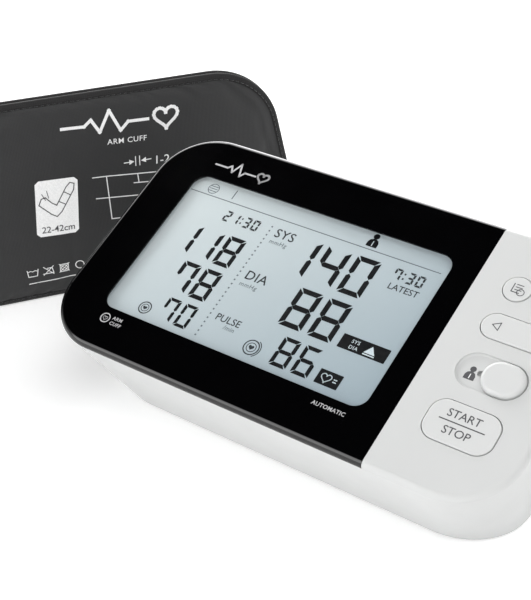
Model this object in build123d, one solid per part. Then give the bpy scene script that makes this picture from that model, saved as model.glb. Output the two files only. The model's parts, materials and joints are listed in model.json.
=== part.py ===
"""Upper arm blood pressure monitor: table-top unit with a tilted display panel, and its arm cuff.

Row frame, millimetres: +Z up, +X to the user's right, +Y away from the user.
The origin is the middle of the pair's footprint, on the table.

Three working frames are used:
  casing frame - the monitor's own upright frame, origin at the middle of its base, on the table
  panel frame  - (x, s, h): x as the casing, s up the slope from the front edge, h out of the panel
  cuff frame   - (t, z, w): t along the folded cuff, z up, w out of its printed face
"""
from build123d import *
import os
from math import cos, radians, sin

# --- monitor casing -------------------------------------------------------
case_width = 191.0
panel_length = 104.4
panel_tilt = 25.7
panel_front_z = 39.7
panel_corner = 23.5
slab = 2.6
edge_round = 2.3
base_width = 173.2
base_depth = 92.2
base_corner = 24.0
base_front_inset = 25.8
base_z = 0.8
wall = 2.4
ledge = 2.0
plate = 2.4
gap = 0.2
floor_top = base_z + plate

# --- display --------------------------------------------------------------
bezel_right_x = 47.9
window_x = -19.0
window_s = 51.55
window_size = (114.2, 67.3)
window_corner = 5.4
lens_skin = 0.6
lens_lap = 1.8
lcd_top_h = -2.9
lcd_thick = 2.0
board_top_h = -10.4
board_thick = 1.6

# --- controls, all on one column of the panel ------------------------------
keys_x = 71.1
start_s = 25.7
start_size = (25.3, 15.5)
start_corner = 5.6
switch_s = 46.6
switch_size = (25.3, 14.3)
switch_depth = 1.0
knob_x = 75.55
knob_size = (15.3, 12.9)
knob_travel = 7.0
knob_top_h = 1.7
knob_stem = (4.0, 1.8)
knob_foot_h = -6.6
slot_width = 2.4
shutter_reach = 9.6
rocker_s = 64.8
rocker_size = (25.5, 10.1)
rocker_pivot_h = -4.0
round_s = 81.1
round_radius = 5.0
round_pitch = 15.5
key_gap = 0.3
key_proud = 0.35
key_travel = 0.8
tact_body = 3.4
tact_top = 4.6

# --- battery bay and door ---------------------------------------------------
cell_radius = 7.1
cell_length = 50.0
cell_pitch = 15.6
cell_count = 4
bay_x = -30.0
bay_y = (-18.5, 36.0)
bay_top_z = 19.6
bay_wall = 1.6
cell_tip = 1.4
door_size_x = 64.0
door_front_y = -19.0
door_lip_z = 8.0
dc_at = (60.5, 40.6, 22.5)

# --- pneumatics -------------------------------------------------------------
pump_x = 50.0
pump_z = 18.0
motor_radius = 12.0
jack_y = 8.0
jack_z = 30.0
jack_x = (-91.4, -76.0)
jack_radius = 5.0
jack_bore = 2.4
tube_radius = 2.0
tube_bore = 1.1
barb_radius = 1.05
barb_bore = 0.5

# --- cuff -------------------------------------------------------------------
cuff_heading = 57.3
cuff_origin = (-163.1, -28.5)
cuff_height = 93.0
cuff_fold_t = -48.0
cuff_end = ((141.0, 0.0), (139.0, 30.0), (125.0, 93.0))
cuff_end_radii = (22.0, 60.0, 32.0)
leaf_layers = {"cover": 0.7, "stiffener": 0.4, "bladder": 0.7, "lining": 0.7}
leaf_gap = 0.4
binding_width = 3.0
gland_t = 118.0
gland_z = 16.0
gland_w = 4.2
nozzle_radius = 2.4
nozzle_bore = 1.0

# --- where the monitor stands in the row frame --------------------------------
monitor_x = 49.0
monitor_y = -10.3

tilt_sin = sin(radians(panel_tilt))
tilt_cos = cos(radians(panel_tilt))
panel_front_y = -base_depth / 2 - base_front_inset
panel = Plane(origin=(0, panel_front_y, panel_front_z), x_dir=(1, 0, 0), z_dir=(0, -tilt_sin, tilt_cos))
monitor_place = Pos(monitor_x, monitor_y, 0)

heading_cos = cos(radians(cuff_heading))
heading_sin = sin(radians(cuff_heading))
cuff_corner = (cuff_origin[0] + monitor_x, cuff_origin[1] + monitor_y, 0)
cuff_plane = Plane(
    origin=cuff_corner,
    x_dir=(heading_cos, heading_sin, 0),
    z_dir=(heading_sin, -heading_cos, 0),
)


# --- helpers ------------------------------------------------------------------
def rounded_block(size, corner, low, high, at=(0, 0)):
    """A rounded rectangle centred on at, from height low to height high."""
    outline = RectangleRounded(size[0], size[1], corner)
    return extrude(Pos(at[0], at[1], low) * outline, amount=high - low)


def box_between(low, high):
    """A box from its lowest to its highest corner."""
    return Pos(*low) * Box(*[b - a for a, b in zip(low, high)], align=(Align.MIN,) * 3)


def rod(radius, start, end):
    """A cylinder from start to end."""
    axis = Vector(*end) - Vector(*start)
    return Plane(origin=start, z_dir=axis) * Cylinder(
        radius, axis.length, align=(Align.CENTER, Align.CENTER, Align.MIN)
    )


def on_panel(shape):
    """A shape drawn in the panel frame, put in the casing frame."""
    return panel * shape


def tube(points, radii):
    """A flexible air tube: straight runs joined by tangent arcs."""
    path = FilletPolyline(*points, radius=radii)
    start = Plane(origin=path @ 0, z_dir=path % 0)
    ring = start * (Circle(tube_radius) - Circle(tube_bore))
    return sweep(ring, path=path)


# --- casing volumes --------------------------------------------------------------
def casing_block(inset, floor_z, ceiling_h):
    """The casing's tapered volume, drawn in by inset, from floor_z up to a plane under the panel."""
    base = Pos(0, 0, floor_z) * RectangleRounded(
        base_width - 2 * inset, base_depth - 2 * inset, base_corner - inset
    )
    top = on_panel(
        Pos(0, panel_length / 2, ceiling_h)
        * RectangleRounded(case_width - 2 * inset, panel_length - 2 * inset, panel_corner - inset)
    )
    return loft([base.face(), top.face()], ruled=True)


def panel_slab():
    """The panel's top layer with its rolled edge, in the casing frame."""
    block = rounded_block((case_width, panel_length), panel_corner, -slab, 0, (0, panel_length / 2))
    block = fillet(block.faces().sort_by(Axis.Z)[-1].edges(), edge_round)
    return on_panel(block)


def panel_side(side):
    """Everything on one side of the line where the dark bezel ends, less half the joint's gap."""
    reach = 140.0
    if side == "bezel":
        return on_panel(box_between((-reach, -20, -20), (bezel_right_x - 0.05, reach, 20)))
    return on_panel(box_between((bezel_right_x + 0.05, -20, -20), (reach, reach, 20)))


def door_zone(clearance):
    """The space of the battery door: the bay's floor and a strip of the back wall."""
    half = door_size_x / 2 + clearance
    return box_between(
        (bay_x - half, door_front_y - clearance, -1),
        (bay_x + half, 80, door_lip_z + clearance),
    )


def door_tongues(clearance):
    """The door's two side tongues, or the grooves that they run in."""
    reach = door_size_x / 2 + 1.1 + clearance
    end_y = 30.0 if clearance == 0 else 80.0
    return box_between(
        (bay_x - reach, door_front_y + 2 - clearance, 1.6 - clearance),
        (bay_x + reach, end_y, 2.5 + clearance),
    )


post_top_z = 34.0
screw_posts = [(x, y) for x in (-74.0, 74.0) for y in (-31.0, 31.0)]
foot_spots = [(x, y) for x in (-68.9, 68.9) for y in (-36.0, 36.0)]
foot_radius = 5.0
foot_height = 1.9


# --- casing parts ----------------------------------------------------------------
def key_openings():
    """Holes in the panel for every control, in the panel frame."""
    grow = 2 * key_gap
    cut = rounded_block(
        (start_size[0] + grow, start_size[1] + grow), start_corner + key_gap, -6, 1, (keys_x, start_s)
    )
    cut += rounded_block(
        (rocker_size[0] + grow, rocker_size[1] + grow),
        rocker_size[1] / 2 + key_gap - 0.01,
        -6,
        1,
        (keys_x, rocker_s),
    )
    for side in (-1, 1):
        cut += Pos(keys_x + side * round_pitch / 2, round_s, -3) * Cylinder(round_radius + key_gap, 8)
    recess = rounded_block(switch_size, switch_size[1] / 2 - 0.01, -switch_depth, 1, (keys_x, switch_s))
    cut += fillet(recess.faces().sort_by(Axis.Z)[0].edges(), switch_depth * 0.85)
    slot = (knob_travel + knob_stem[0] + 1.4, slot_width)
    cut += rounded_block(slot, slot_width / 2 - 0.01, -6, 1, (knob_x - knob_travel / 2, switch_s))
    return cut


def rocker_ears():
    """Two ears under the panel that carry the rocker's trunnions, in the panel frame."""
    ears = Part()
    for side in (-1, 1):
        s = rocker_s + side * 7.4
        ear = box_between((keys_x - 2.5, s - 0.8, -6.2), (keys_x + 2.5, s + 0.8, -wall + 0.2))
        ears += ear - rod(1.06, (keys_x, s - 2, rocker_pivot_h), (keys_x, s + 2, rocker_pivot_h))
    return ears


def wall_posts():
    """Screw posts, each held to its side wall by a gusset."""
    posts = Part()
    for x, y in screw_posts:
        posts += rod(3.6, (x, y, 14.2), (x, y, post_top_z))
        low_x, high_x = sorted((x, x * 1.4))
        posts += box_between((low_x, y - 1, 14.2), (high_x, y + 1, post_top_z))
    return posts


def upper_case():
    """White shell: tapered walls, the panel's right part, and the ledge that carries the bezel."""
    shell = casing_block(0, base_z, -slab) + (panel_slab() & panel_side("keys"))
    cavity = casing_block(wall, base_z, -slab - ledge)
    shell -= cavity
    thin = rounded_block((36, 88), 8, -slab - ledge - 1, -wall, (keys_x, panel_length / 2))
    shell -= on_panel(thin)
    opening = rounded_block((window_size[0] + 12, window_size[1] + 10), 2, -12, 1, (window_x, window_s))
    shell -= on_panel(opening)
    shell -= on_panel(key_openings())
    shell += on_panel(rocker_ears())
    shell += wall_posts() & casing_block(wall - 0.3, base_z, -slab - 0.5)
    for x, y in screw_posts:
        shell -= rod(1.2, (x, y, 10), (x, y, 26))
    shell -= door_zone(gap) + door_tongues(gap)
    shell -= rod(jack_radius + gap, (-110, jack_y, jack_z), (-70, jack_y, jack_z))
    jack_half = 5.5 + gap
    shell -= box_between(
        (dc_at[0] - jack_half, 20, dc_at[2] - jack_half), (dc_at[0] + jack_half, 60, dc_at[2] + jack_half)
    )
    return shell


def lower_case():
    """Bottom plate with screw bosses, the battery bay, the motor cradle and foot pockets."""
    inset = wall + gap
    tray = casing_block(inset, base_z, -slab - ledge)
    tray &= box_between((-200, -200, 0), (200, 200, floor_top))
    half = cell_count * cell_pitch / 2
    bay = box_between(
        (bay_x - half - bay_wall, bay_y[0] - bay_wall, floor_top),
        (bay_x + half + bay_wall, bay_y[1] + bay_wall, bay_top_z + bay_wall),
    )
    tray += bay
    tray -= box_between((bay_x - half, bay_y[0], 0), (bay_x + half, bay_y[1], bay_top_z))
    for x, y in screw_posts:
        tray += rod(4.2, (x, y, floor_top), (x, y, 14.0))
    for x, y in screw_posts:
        tray -= rod(1.7, (x, y, 0), (x, y, 20)) + rod(3.2, (x, y, 0), (x, y, 6.0))
    for y in (-31.0, -17.0):
        rib = box_between((pump_x - 15, y, floor_top), (pump_x + 15, y + 2, pump_z))
        tray += rib - rod(motor_radius + 1.7, (pump_x, y - 1, pump_z), (pump_x, y + 3, pump_z))
    for x, y in foot_spots:
        tray -= rod(foot_radius + gap, (x, y, 0), (x, y, foot_height))
    tray -= door_zone(gap) & box_between((-200, -200, -2), (200, 200, floor_top + 0.01))
    return tray - door_tongues(gap)


def battery_door():
    """Sliding cover: the bay's floor, a strip of the back wall, two tongues and finger ridges."""
    closed = casing_block(0, base_z, -slab) - casing_block(wall, floor_top, -slab - ledge)
    door = closed & door_zone(0)
    door += door_tongues(0) & box_between((-200, -200, 0), (200, 200, floor_top))
    for i in range(5):
        y = 24.0 + i * 3.0
        door -= box_between((bay_x - 9, y, 0), (bay_x + 9, y + 1.4, base_z + 0.6))
    return door


def display_bezel():
    """Gloss black surround of the display, rolled over three edges of the panel."""
    bezel = panel_slab() & panel_side("bezel")
    window = rounded_block(window_size, window_corner, -6, 1, (window_x, window_s))
    lap = 2 * lens_lap
    pocket = rounded_block(
        (window_size[0] + lap, window_size[1] + lap),
        window_corner + lens_lap,
        -6,
        -lens_skin,
        (window_x, window_s),
    )
    return bezel - on_panel(window) - on_panel(pocket)


def display_lens():
    """Clear window behind the bezel's opening."""
    lap = 2 * (lens_lap - 0.15)
    size = (window_size[0] + lap, window_size[1] + lap)
    corner = window_corner + lens_lap - 0.15
    return on_panel(
        rounded_block(size, corner, -slab + 0.05, -lens_skin - 0.02, (window_x, window_s))
    )


# --- display and board ----------------------------------------------------------------
def lcd_glass():
    """Liquid crystal cell, a little larger than the window."""
    size = (window_size[0] + 8, window_size[1] + 6)
    return on_panel(rounded_block(size, 0.8, lcd_top_h - lcd_thick, lcd_top_h, (window_x, window_s)))


def lcd_reflector():
    """White light guide and reflector sheet under the cell."""
    size = (window_size[0] + 4, window_size[1] + 2)
    top = lcd_top_h - lcd_thick
    return on_panel(rounded_block(size, 0.8, top - 1.4, top - 0.05, (window_x, window_s)))


def lcd_frame():
    """Plastic frame that holds the cell on the board, with contact slots along two sides."""
    outer = (window_size[0] + 11, window_size[1] + 9)
    inner = (window_size[0] + 8.3, window_size[1] + 6.3)
    frame = rounded_block(outer, 1.5, board_top_h + 0.05, lcd_top_h - 0.05, (window_x, window_s))
    frame -= rounded_block(inner, 0.8, board_top_h - 1, lcd_top_h + 1, (window_x, window_s))
    return on_panel(frame)


def lcd_contacts():
    """Two elastomer strips that join the cell's edge to the board."""
    strips = Part()
    top = lcd_top_h - lcd_thick - 0.05
    for side in (-1, 1):
        s = window_s + side * (window_size[1] / 2 + 2.2)
        strips += box_between((window_x - 52, s - 0.7, board_top_h + 0.05), (window_x + 52, s + 0.7, top))
    return on_panel(strips)


def main_board():
    """Circuit board under the display and the keys."""
    board = rounded_block((168, 84), 4, board_top_h - board_thick, board_top_h, (1.5, 52))
    return on_panel(board)


def board_chip(size, at, side, height):
    """A block-shaped component on the board's upper (+1) or lower (-1) face."""
    face = board_top_h if side > 0 else board_top_h - board_thick
    low, high = (face, face + height) if side > 0 else (face - height, face)
    return on_panel(rounded_block(size, 0.4, low, high, at))


def key_switches():
    """Tact switches under the keys, one below each key and one below each end of the rocker."""
    spots = [
        (keys_x, start_s),
        (keys_x - 9, rocker_s),
        (keys_x + 9, rocker_s),
        (keys_x - round_pitch / 2, round_s),
        (keys_x + round_pitch / 2, round_s),
    ]
    switches = Part()
    for x, s in spots:
        switches += box_between((x - 3, s - 3, board_top_h), (x + 3, s + 3, board_top_h + tact_body))
        switches += rod(1.7, (x, s, board_top_h + tact_body), (x, s, board_top_h + tact_top))
    return on_panel(switches)


def slide_switch():
    """Two-position switch on the board, with a slot for its lever."""
    x = knob_x - knob_travel / 2
    body = box_between((x - 9, switch_s - 3, board_top_h), (x + 9, switch_s + 3, board_top_h + 3.6))
    slot = box_between((x - 6.6, switch_s - 1.3, board_top_h + 1.0), (x + 6.6, switch_s + 1.3, 0))
    return on_panel(body - slot)


# --- keys --------------------------------------------------------------------------------
flange_top_h = -wall - 0.05
flange_low_h = flange_top_h - 0.9
flange_reach = 1.1
stem_low_h = board_top_h + tact_top + key_travel + 0.1


def key_body(cap, flange, at):
    """A key: its cap, the flange that keeps it in, and the stem over its switch."""
    key = fillet(cap.faces().sort_by(Axis.Z)[-1].edges(), 0.4)
    key += flange
    key += rod(1.6, (at[0], at[1], stem_low_h), (at[0], at[1], flange_top_h))
    return on_panel(key)


def start_stop_button():
    at = (keys_x, start_s)
    cap = rounded_block(start_size, start_corner, flange_top_h, key_proud, at)
    rim = (start_size[0] + 2 * flange_reach, start_size[1] + 2 * flange_reach)
    flange = rounded_block(rim, start_corner + flange_reach, flange_low_h, flange_top_h, at)
    return key_body(cap, flange, at)


def round_button(side):
    at = (keys_x + side * round_pitch / 2, round_s)
    cap = rod(round_radius, (*at, flange_top_h), (*at, key_proud))
    flange = rod(round_radius + flange_reach, (*at, flange_low_h), (*at, flange_top_h))
    return key_body(cap, flange, at)


def arrow_rocker():
    """Two-way key on trunnions: pressing an end tips it."""
    at = (keys_x, rocker_s)
    cap = rounded_block(rocker_size, rocker_size[1] / 2 - 0.01, -2.6, key_proud, at)
    cap = fillet(cap.faces().sort_by(Axis.Z)[-1].edges(), 0.4)
    beam = box_between((keys_x - 10.6, rocker_s - 3.6, -4.6), (keys_x + 10.6, rocker_s + 3.6, -2.6))
    pins = rod(1.0, (keys_x, rocker_s - 8.4, rocker_pivot_h), (keys_x, rocker_s + 8.4, rocker_pivot_h))
    return on_panel(cap + beam + pins)


def user_switch_knob():
    """Domed slider in the oval recess, its stem, and the shutter that keeps it in and closes the slot."""
    at = (knob_x, switch_s)
    cap = rounded_block(knob_size, knob_size[1] / 2 - 0.01, -switch_depth + 0.08, knob_top_h, at)
    cap = fillet(cap.faces().sort_by(Axis.Z)[-1].edges(), knob_top_h - 0.1)
    half_x, half_s = knob_stem[0] / 2, knob_stem[1] / 2
    stem = box_between(
        (knob_x - half_x, switch_s - half_s, knob_foot_h),
        (knob_x + half_x, switch_s + half_s, 0),
    )
    shutter = box_between(
        (knob_x - shutter_reach, switch_s - 3.4, -wall - 1.0),
        (knob_x + shutter_reach, switch_s + 3.4, -wall - 0.1),
    )
    return on_panel(cap + stem + shutter)


def switch_lever():
    """The board switch's lever, pushed by the knob's stem."""
    lever = box_between(
        (knob_x - 1.6, switch_s - 1.0, board_top_h + 1.1),
        (knob_x + 1.6, switch_s + 1.0, knob_foot_h - 0.05),
    )
    return on_panel(lever)


# --- power ------------------------------------------------------------------------------
def cell_centre_x(index):
    return bay_x + (index - (cell_count - 1) / 2) * cell_pitch


cell_z = floor_top + 0.6 + cell_radius


def battery(index):
    """One AA cell with its raised contact; neighbours point opposite ways."""
    x = cell_centre_x(index)
    way = 1 if index % 2 == 0 else -1
    mid = (bay_y[0] + bay_y[1]) / 2
    back = mid - way * cell_length / 2
    front = back + way * (cell_length - cell_tip)
    can = rod(cell_radius, (x, back, cell_z), (x, front, cell_z))
    return can + rod(2.7, (x, front, cell_z), (x, front + way * cell_tip, cell_z))


def battery_contacts():
    """A plate on each end wall of the bay for each cell, with a sprung tab towards the cell."""
    contacts = Part()
    for index in range(cell_count):
        x = cell_centre_x(index)
        for wall_y, way in ((bay_y[0], 1), (bay_y[1], -1)):
            low_y, high_y = sorted((wall_y, wall_y + way * 0.5))
            contacts += box_between((x - 5, low_y, cell_z - 5), (x + 5, high_y, cell_z + 5))
            contacts += rod(2.2, (x, wall_y + way * 0.5, cell_z), (x, wall_y + way * 2.0, cell_z))
    return contacts


def dc_jack():
    """Mains adaptor socket in the back wall."""
    x, back_y, z = dc_at
    body = box_between((x - 5.5, 26.0, z - 5.5), (x + 5.5, back_y, z + 5.5))
    body -= rod(2.75, (x, 31.0, z), (x, 50, z))
    return body + rod(0.95, (x, 28.0, z), (x, back_y - 1.0, z))


# --- pump, valve and air path ------------------------------------------------------------
motor_y = (-36.0, -8.0)
head_y = (-8.0, 12.0)
tee_at = (24.0, 22.0, 27.0)
valve_at = (22.0, -22.0)


def motor_can():
    """Motor housing, closed at the back, with a front bearing for its shaft."""
    can = rod(motor_radius, (pump_x, motor_y[0], pump_z), (pump_x, motor_y[1], pump_z))
    can = fillet(can.faces().sort_by(Axis.Y)[0].edges(), 1.5)
    return can - rod(1.05, (pump_x, motor_y[0] + 2, pump_z), (pump_x, motor_y[1] + 1, pump_z))


def motor_sleeve():
    """Soft sleeve that keeps the motor quiet in its cradle."""
    sleeve = rod(motor_radius + 1.5, (pump_x, -33, pump_z), (pump_x, -13, pump_z))
    return sleeve - rod(motor_radius + 0.02, (pump_x, -40, pump_z), (pump_x, -5, pump_z))


def pump_head():
    """Diaphragm chamber block with the crank's cavity and an outlet nozzle."""
    head = box_between((pump_x - 13, head_y[0], pump_z - 13), (pump_x + 13, head_y[1], pump_z + 13))
    head = fillet(head.edges().filter_by(Axis.Y), 3)
    head -= rod(9.0, (pump_x, head_y[0] - 1, pump_z), (pump_x, head_y[0] + 9, pump_z))
    nozzle = (pump_x, head_y[1], pump_z + 6)
    head += rod(barb_radius, nozzle, (nozzle[0], head_y[1] + 6, nozzle[2]))
    bore = rod(barb_bore, (nozzle[0], head_y[1] - 4, nozzle[2]), (nozzle[0], head_y[1] + 7, nozzle[2]))
    return head - bore


def pump_crank():
    """Motor shaft with its offset crank disc."""
    shaft = rod(1.0, (pump_x, motor_y[0] + 3, pump_z), (pump_x, head_y[0] + 5, pump_z))
    disc = rod(6.5, (pump_x, head_y[0] + 1, pump_z), (pump_x, head_y[0] + 5, pump_z))
    pin = rod(1.2, (pump_x + 3.5, head_y[0] + 5, pump_z), (pump_x + 3.5, head_y[0] + 7.5, pump_z))
    return shaft + disc + pin


def exhaust_valve():
    """Solenoid body with a bore for its plunger and an inlet nozzle."""
    x, y = valve_at
    body = box_between((x - 7, y - 7, floor_top), (x + 7, y + 7, floor_top + 20))
    body = fillet(body.edges().filter_by(Axis.Z), 1.5)
    body -= rod(3.0, (x, y, floor_top + 8), (x, y, floor_top + 21))
    return body


def valve_plunger():
    """Spring-loaded plunger with its seal."""
    x, y = valve_at
    seal_z = floor_top + 22
    return rod(2.95, (x, y, floor_top + 9.5), (x, y, seal_z)) + rod(4.2, (x, y, seal_z), (x, y, seal_z + 1.5))


def valve_seat():
    """Bracket over the plunger, with the nozzle that the seal closes."""
    x, y = valve_at
    seat = box_between((x - 9, y - 5, floor_top + 23.6), (x + 9, y + 5, floor_top + 26))
    for side in (-1, 1):
        seat += box_between(
            (x + side * 8 - 1, y - 5, floor_top), (x + side * 8 + 1, y + 5, floor_top + 24)
        )
    seat += rod(barb_radius, (x, y, floor_top + 26), (x, y, floor_top + 31))
    return seat - rod(barb_bore, (x, y, floor_top + 23), (x, y, floor_top + 32))


def air_manifold():
    """Four-way joint of the air path."""
    x, y, z = tee_at
    hub = box_between((x - 4, y - 4, z - 4), (x + 4, y + 4, z + 4))
    hub = fillet(hub.edges().filter_by(Axis.Z), 1)
    arms = [(x - 10, y, z), (x + 10, y, z), (x, y - 10, z), (x, y, z + 9)]
    for end in arms:
        hub += rod(barb_radius, (x, y, z), end)
    return hub


def air_jack():
    """Socket in the left wall that takes the cuff's air plug."""
    mouth_x, inner_x = jack_x
    jack = rod(jack_radius, (mouth_x, jack_y, jack_z), (inner_x, jack_y, jack_z))
    jack += rod(jack_radius + 2, (-85.0, jack_y, jack_z), (-82.5, jack_y, jack_z))
    jack -= rod(jack_bore, (mouth_x - 4, jack_y, jack_z), (inner_x - 3, jack_y, jack_z))
    jack += rod(barb_radius, (inner_x, jack_y, jack_z), (inner_x + 6, jack_y, jack_z))
    return jack - rod(barb_bore, (-80, jack_y, jack_z), (-69, jack_y, jack_z))


sensor_at = (10.0, 60.0)


def pressure_sensor():
    """Sensor package under the board, with its port facing up the slope."""
    top = board_top_h - board_thick
    x, s = sensor_at
    package = box_between((x - 5, s - 5, top - 5), (x + 5, s + 5, top))
    return on_panel(package + rod(barb_radius, (x, s + 5, top - 2.5), (x, s + 11, top - 2.5)))


def air_tube_pump():
    x, y, z = tee_at
    start = (pump_x, head_y[1] + 0.6, pump_z + 6)
    return tube([start, (pump_x, y, pump_z + 6), (pump_x - 8, y, z), (x + 4.6, y, z)], [4.0, 6.0])


def air_tube_jack():
    x, y, z = tee_at
    points = [(x - 4.6, y, z), (-20, y, z), (-52, jack_y, jack_z), (-75.4, jack_y, jack_z)]
    return tube(points, [30.0, 30.0])


def air_tube_valve():
    x, y, z = tee_at
    valve_x, valve_y = valve_at
    seat_z = floor_top + 26
    high = seat_z + 15
    points = [
        (x, y - 4.6, z),
        (x, y - 16, z),
        (valve_x + 1, -4, high),
        (valve_x, valve_y, high),
        (valve_x, valve_y, seat_z + 0.4),
    ]
    return tube(points, [8.0, 12.0, 6.5])


def air_tube_sensor():
    x, y, z = tee_at
    port_x, port_s = sensor_at
    port_h = board_top_h - board_thick - 2.5
    port = panel.from_local_coords((port_x, port_s + 5.6, port_h))
    bend = panel.from_local_coords((port_x, port_s + 24, port_h))
    return tube([(x, y, z + 4.6), (x, y, z + 20), bend, port], [14.0, 9.0])


# --- fasteners and feet ---------------------------------------------------------------------
def case_screws():
    """Four screws from below, through the bosses into the upper case's posts."""
    screws = Part()
    for x, y in screw_posts:
        screws += rod(2.9, (x, y, 3.8), (x, y, 6.0)) + rod(1.15, (x, y, 6.0), (x, y, 24))
        screws -= rod(1.0, (x, y, 3.0), (x, y, 4.8))
    return screws


def foot(spot):
    """Soft round foot set in its pocket."""
    x, y = spot
    pad = rod(foot_radius, (x, y, 0), (x, y, foot_height))
    return fillet(pad.faces().sort_by(Axis.Z)[0].edges(), 0.3)


# --- cuff --------------------------------------------------------------------------------------
leaf_depth = sum(leaf_layers.values())


def leaf_outline(inset):
    """Outline of one leaf, fold at the left and rounded free end at the right, drawn in by inset."""
    corners = [(cuff_fold_t, 0), *cuff_end, (cuff_fold_t, cuff_height)]
    outline = Polygon(*corners, align=None)
    radii = dict(zip(cuff_end, cuff_end_radii))
    for corner, radius in radii.items():
        nearest = min(outline.vertices(), key=lambda v: (Vector(*corner) - v.center()).length)
        outline = fillet(nearest, radius)
    return outline if inset == 0 else offset(outline, -inset)


def leaf_sheet(outline, outer_w, depth):
    """A flat sheet of the leaf, its outer face at outer_w and its thickness towards -w."""
    return cuff_plane * (Pos(0, 0, outer_w - depth) * extrude(outline, amount=depth))


def leaf_w(side, layer):
    """Where a layer's +w face lies; the rear leaf's layers run the other way round."""
    names = list(leaf_layers)
    before = sum(leaf_layers[n] for n in names[: names.index(layer)])
    if side == "front":
        return -before
    return -(2 * leaf_depth + leaf_gap) + before + leaf_layers[layer]


def cuff_layer(side, layer):
    """Cover, stiffener, bladder or lining of one leaf; inner layers stop short of the binding."""
    inset = binding_width + (0 if layer in ("cover", "lining") else 1.5)
    return leaf_sheet(leaf_outline(inset), leaf_w(side, layer), leaf_layers[layer])


def cuff_binding(side):
    """Edge tape round one leaf."""
    ring = leaf_outline(0) - leaf_outline(binding_width)
    top = 0 if side == "front" else -(leaf_depth + leaf_gap)
    return leaf_sheet(ring, top, leaf_depth)


def hook_patch():
    """Hook tape on the rear leaf's outside."""
    outline = Pos(108, cuff_height / 2) * RectangleRounded(34, 62, 6)
    return leaf_sheet(outline, -(2 * leaf_depth + leaf_gap), 0.8)


def hose_gland():
    """Moulded elbow on the printed face, with the nozzle for the air hose."""
    base = rod(8.0, (gland_t, gland_z, 0), (gland_t, gland_z, 1.6))
    dome = rod(5.0, (gland_t, gland_z, 1.6), (gland_t, gland_z, 7.0))
    dome = fillet(dome.faces().sort_by(Axis.Z)[-1].edges(), 1.8)
    spout_t, tip_t = gland_t - 12, gland_t - 22
    spout = rod(3.4, (gland_t, gland_z, gland_w), (spout_t, gland_z, gland_w))
    nozzle = rod(nozzle_radius, (spout_t, gland_z, gland_w), (tip_t, gland_z, gland_w))
    bore = rod(nozzle_bore, (gland_t - 2, gland_z, gland_w), (tip_t - 1, gland_z, gland_w))
    return cuff_plane * (base + dome + spout + nozzle - bore)


# --- the set --------------------------------------------------------------------------------------
def monitor_parts():
    parts = {
        "upper_case": upper_case(),
        "lower_case": lower_case(),
        "battery_door": battery_door(),
        "display_bezel": display_bezel(),
        "display_lens": display_lens(),
        "lcd_glass": lcd_glass(),
        "lcd_reflector": lcd_reflector(),
        "lcd_frame": lcd_frame(),
        "lcd_contacts": lcd_contacts(),
        "main_board": main_board(),
        "controller_chip": board_chip((12, 12), (40, 84), -1, 1.4),
        "radio_module": board_chip((13, 18), (-60, 70), -1, 2.2),
        "buzzer": board_chip((12, 12), (-50, 35), -1, 6.0),
        "pressure_sensor": pressure_sensor(),
        "key_switches": key_switches(),
        "slide_switch": slide_switch(),
        "switch_lever": switch_lever(),
        "start_stop_button": start_stop_button(),
        "memory_button": round_button(-1),
        "settings_button": round_button(1),
        "arrow_rocker": arrow_rocker(),
        "user_switch_knob": user_switch_knob(),
        "battery_contacts": battery_contacts(),
        "dc_jack": dc_jack(),
        "motor_can": motor_can(),
        "motor_sleeve": motor_sleeve(),
        "pump_head": pump_head(),
        "pump_crank": pump_crank(),
        "exhaust_valve": exhaust_valve(),
        "valve_plunger": valve_plunger(),
        "valve_seat": valve_seat(),
        "air_manifold": air_manifold(),
        "air_jack": air_jack(),
        "air_tube_pump": air_tube_pump(),
        "air_tube_jack": air_tube_jack(),
        "air_tube_valve": air_tube_valve(),
        "air_tube_sensor": air_tube_sensor(),
        "case_screws": case_screws(),
    }
    for index in range(cell_count):
        parts[f"battery_{index + 1}"] = battery(index)
    for index, spot in enumerate(foot_spots):
        parts[f"rubber_foot_{index + 1}"] = foot(spot)
    return {name: monitor_place * shape for name, shape in parts.items()}


def cuff_parts():
    parts = {}
    for side in ("front", "rear"):
        for layer in leaf_layers:
            parts[f"cuff_{side}_{layer}"] = cuff_layer(side, layer)
        parts[f"cuff_{side}_binding"] = cuff_binding(side)
    parts["hook_patch"] = hook_patch()
    parts["hose_gland"] = hose_gland()
    return parts


def main():
    os.makedirs("parts", exist_ok=True)
    for name, shape in {**monitor_parts(), **cuff_parts()}.items():
        export_step(shape, f"parts/{name}.step")


main()
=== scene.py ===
"""Looks of the upper arm blood pressure monitor and its cuff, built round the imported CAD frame."""
import json
from math import atan2, cos, hypot, pi, radians, sin

import bmesh
import bpy
from mathutils import Matrix, Vector
from mathutils.bvhtree import BVHTree


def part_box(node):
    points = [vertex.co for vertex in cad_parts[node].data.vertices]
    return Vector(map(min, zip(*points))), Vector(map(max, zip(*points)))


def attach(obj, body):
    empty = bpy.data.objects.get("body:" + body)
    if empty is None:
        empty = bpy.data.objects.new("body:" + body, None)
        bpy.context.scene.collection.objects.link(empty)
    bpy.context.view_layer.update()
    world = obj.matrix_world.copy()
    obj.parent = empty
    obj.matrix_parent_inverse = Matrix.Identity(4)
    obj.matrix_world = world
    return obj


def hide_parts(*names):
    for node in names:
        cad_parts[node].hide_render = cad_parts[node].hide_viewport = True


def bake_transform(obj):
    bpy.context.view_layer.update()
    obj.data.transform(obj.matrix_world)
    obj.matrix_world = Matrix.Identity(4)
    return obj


MM = 0.001
CAP_SHARE = 0.729  # height of a capital letter as a share of the lettering size
# Two ends of the display's painted reflection: lighter at the upper left, dimmer at the lower right.
LCD_PAINTED_LIT = (0.552, 0.583, 0.590)
LCD_PAINTED_DIM = (0.255, 0.308, 0.347)
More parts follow.
